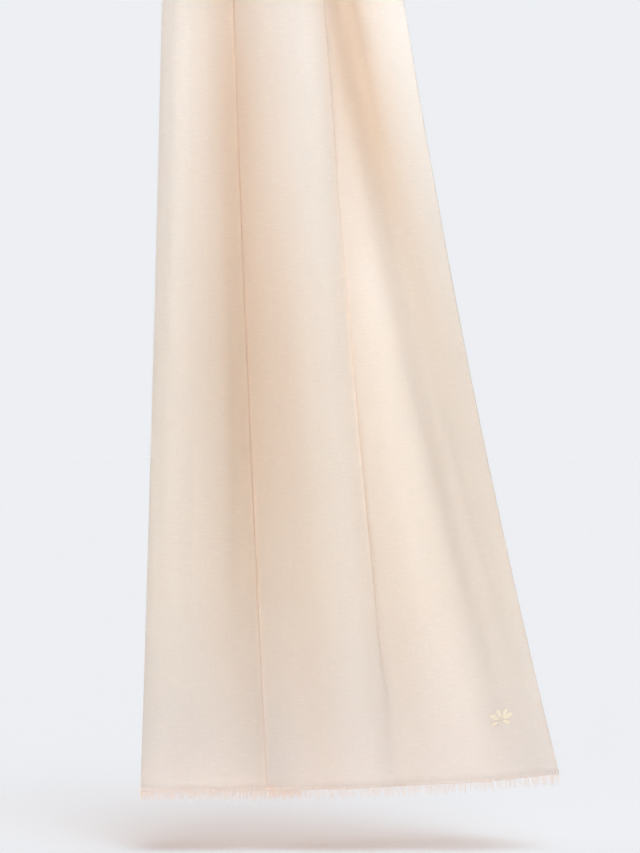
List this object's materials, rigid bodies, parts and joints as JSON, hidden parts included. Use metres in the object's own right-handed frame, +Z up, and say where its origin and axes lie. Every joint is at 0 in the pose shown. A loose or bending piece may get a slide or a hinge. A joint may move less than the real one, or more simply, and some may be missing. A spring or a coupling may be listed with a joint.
{
  "type": "pashmina shawl",
  "caption": "Fine woven cashmere shawl hanging doubled over its middle, with soft pleats fanning out down both falls and a short frayed fringe along each hem.",
  "frame": {"origin": "underside of the cloth at the top of the fold, where the shawl is held, above the axis of the support that it hangs over", "axes": "+Z up, against the hang of the cloth; +X across the shawl, from the tucked side towards the free selvage; +Y towards the back fall, so the front faces -Y"},
  "size_m": [0.4516, 0.125, 1.0158],
  "materials": {
    "cashmere_cloth": "fine twill, soft brushed nap, faint sheen",
    "frayed_warp": "loose frayed yarn, matt"
  },
  "bodies": {
    "root": {"front_fall": "cashmere_cloth", "top_fold": "cashmere_cloth", "back_fall": "cashmere_cloth", "front_fringe": "frayed_warp", "back_fringe": "frayed_warp"}
  },
  "joints": []
}
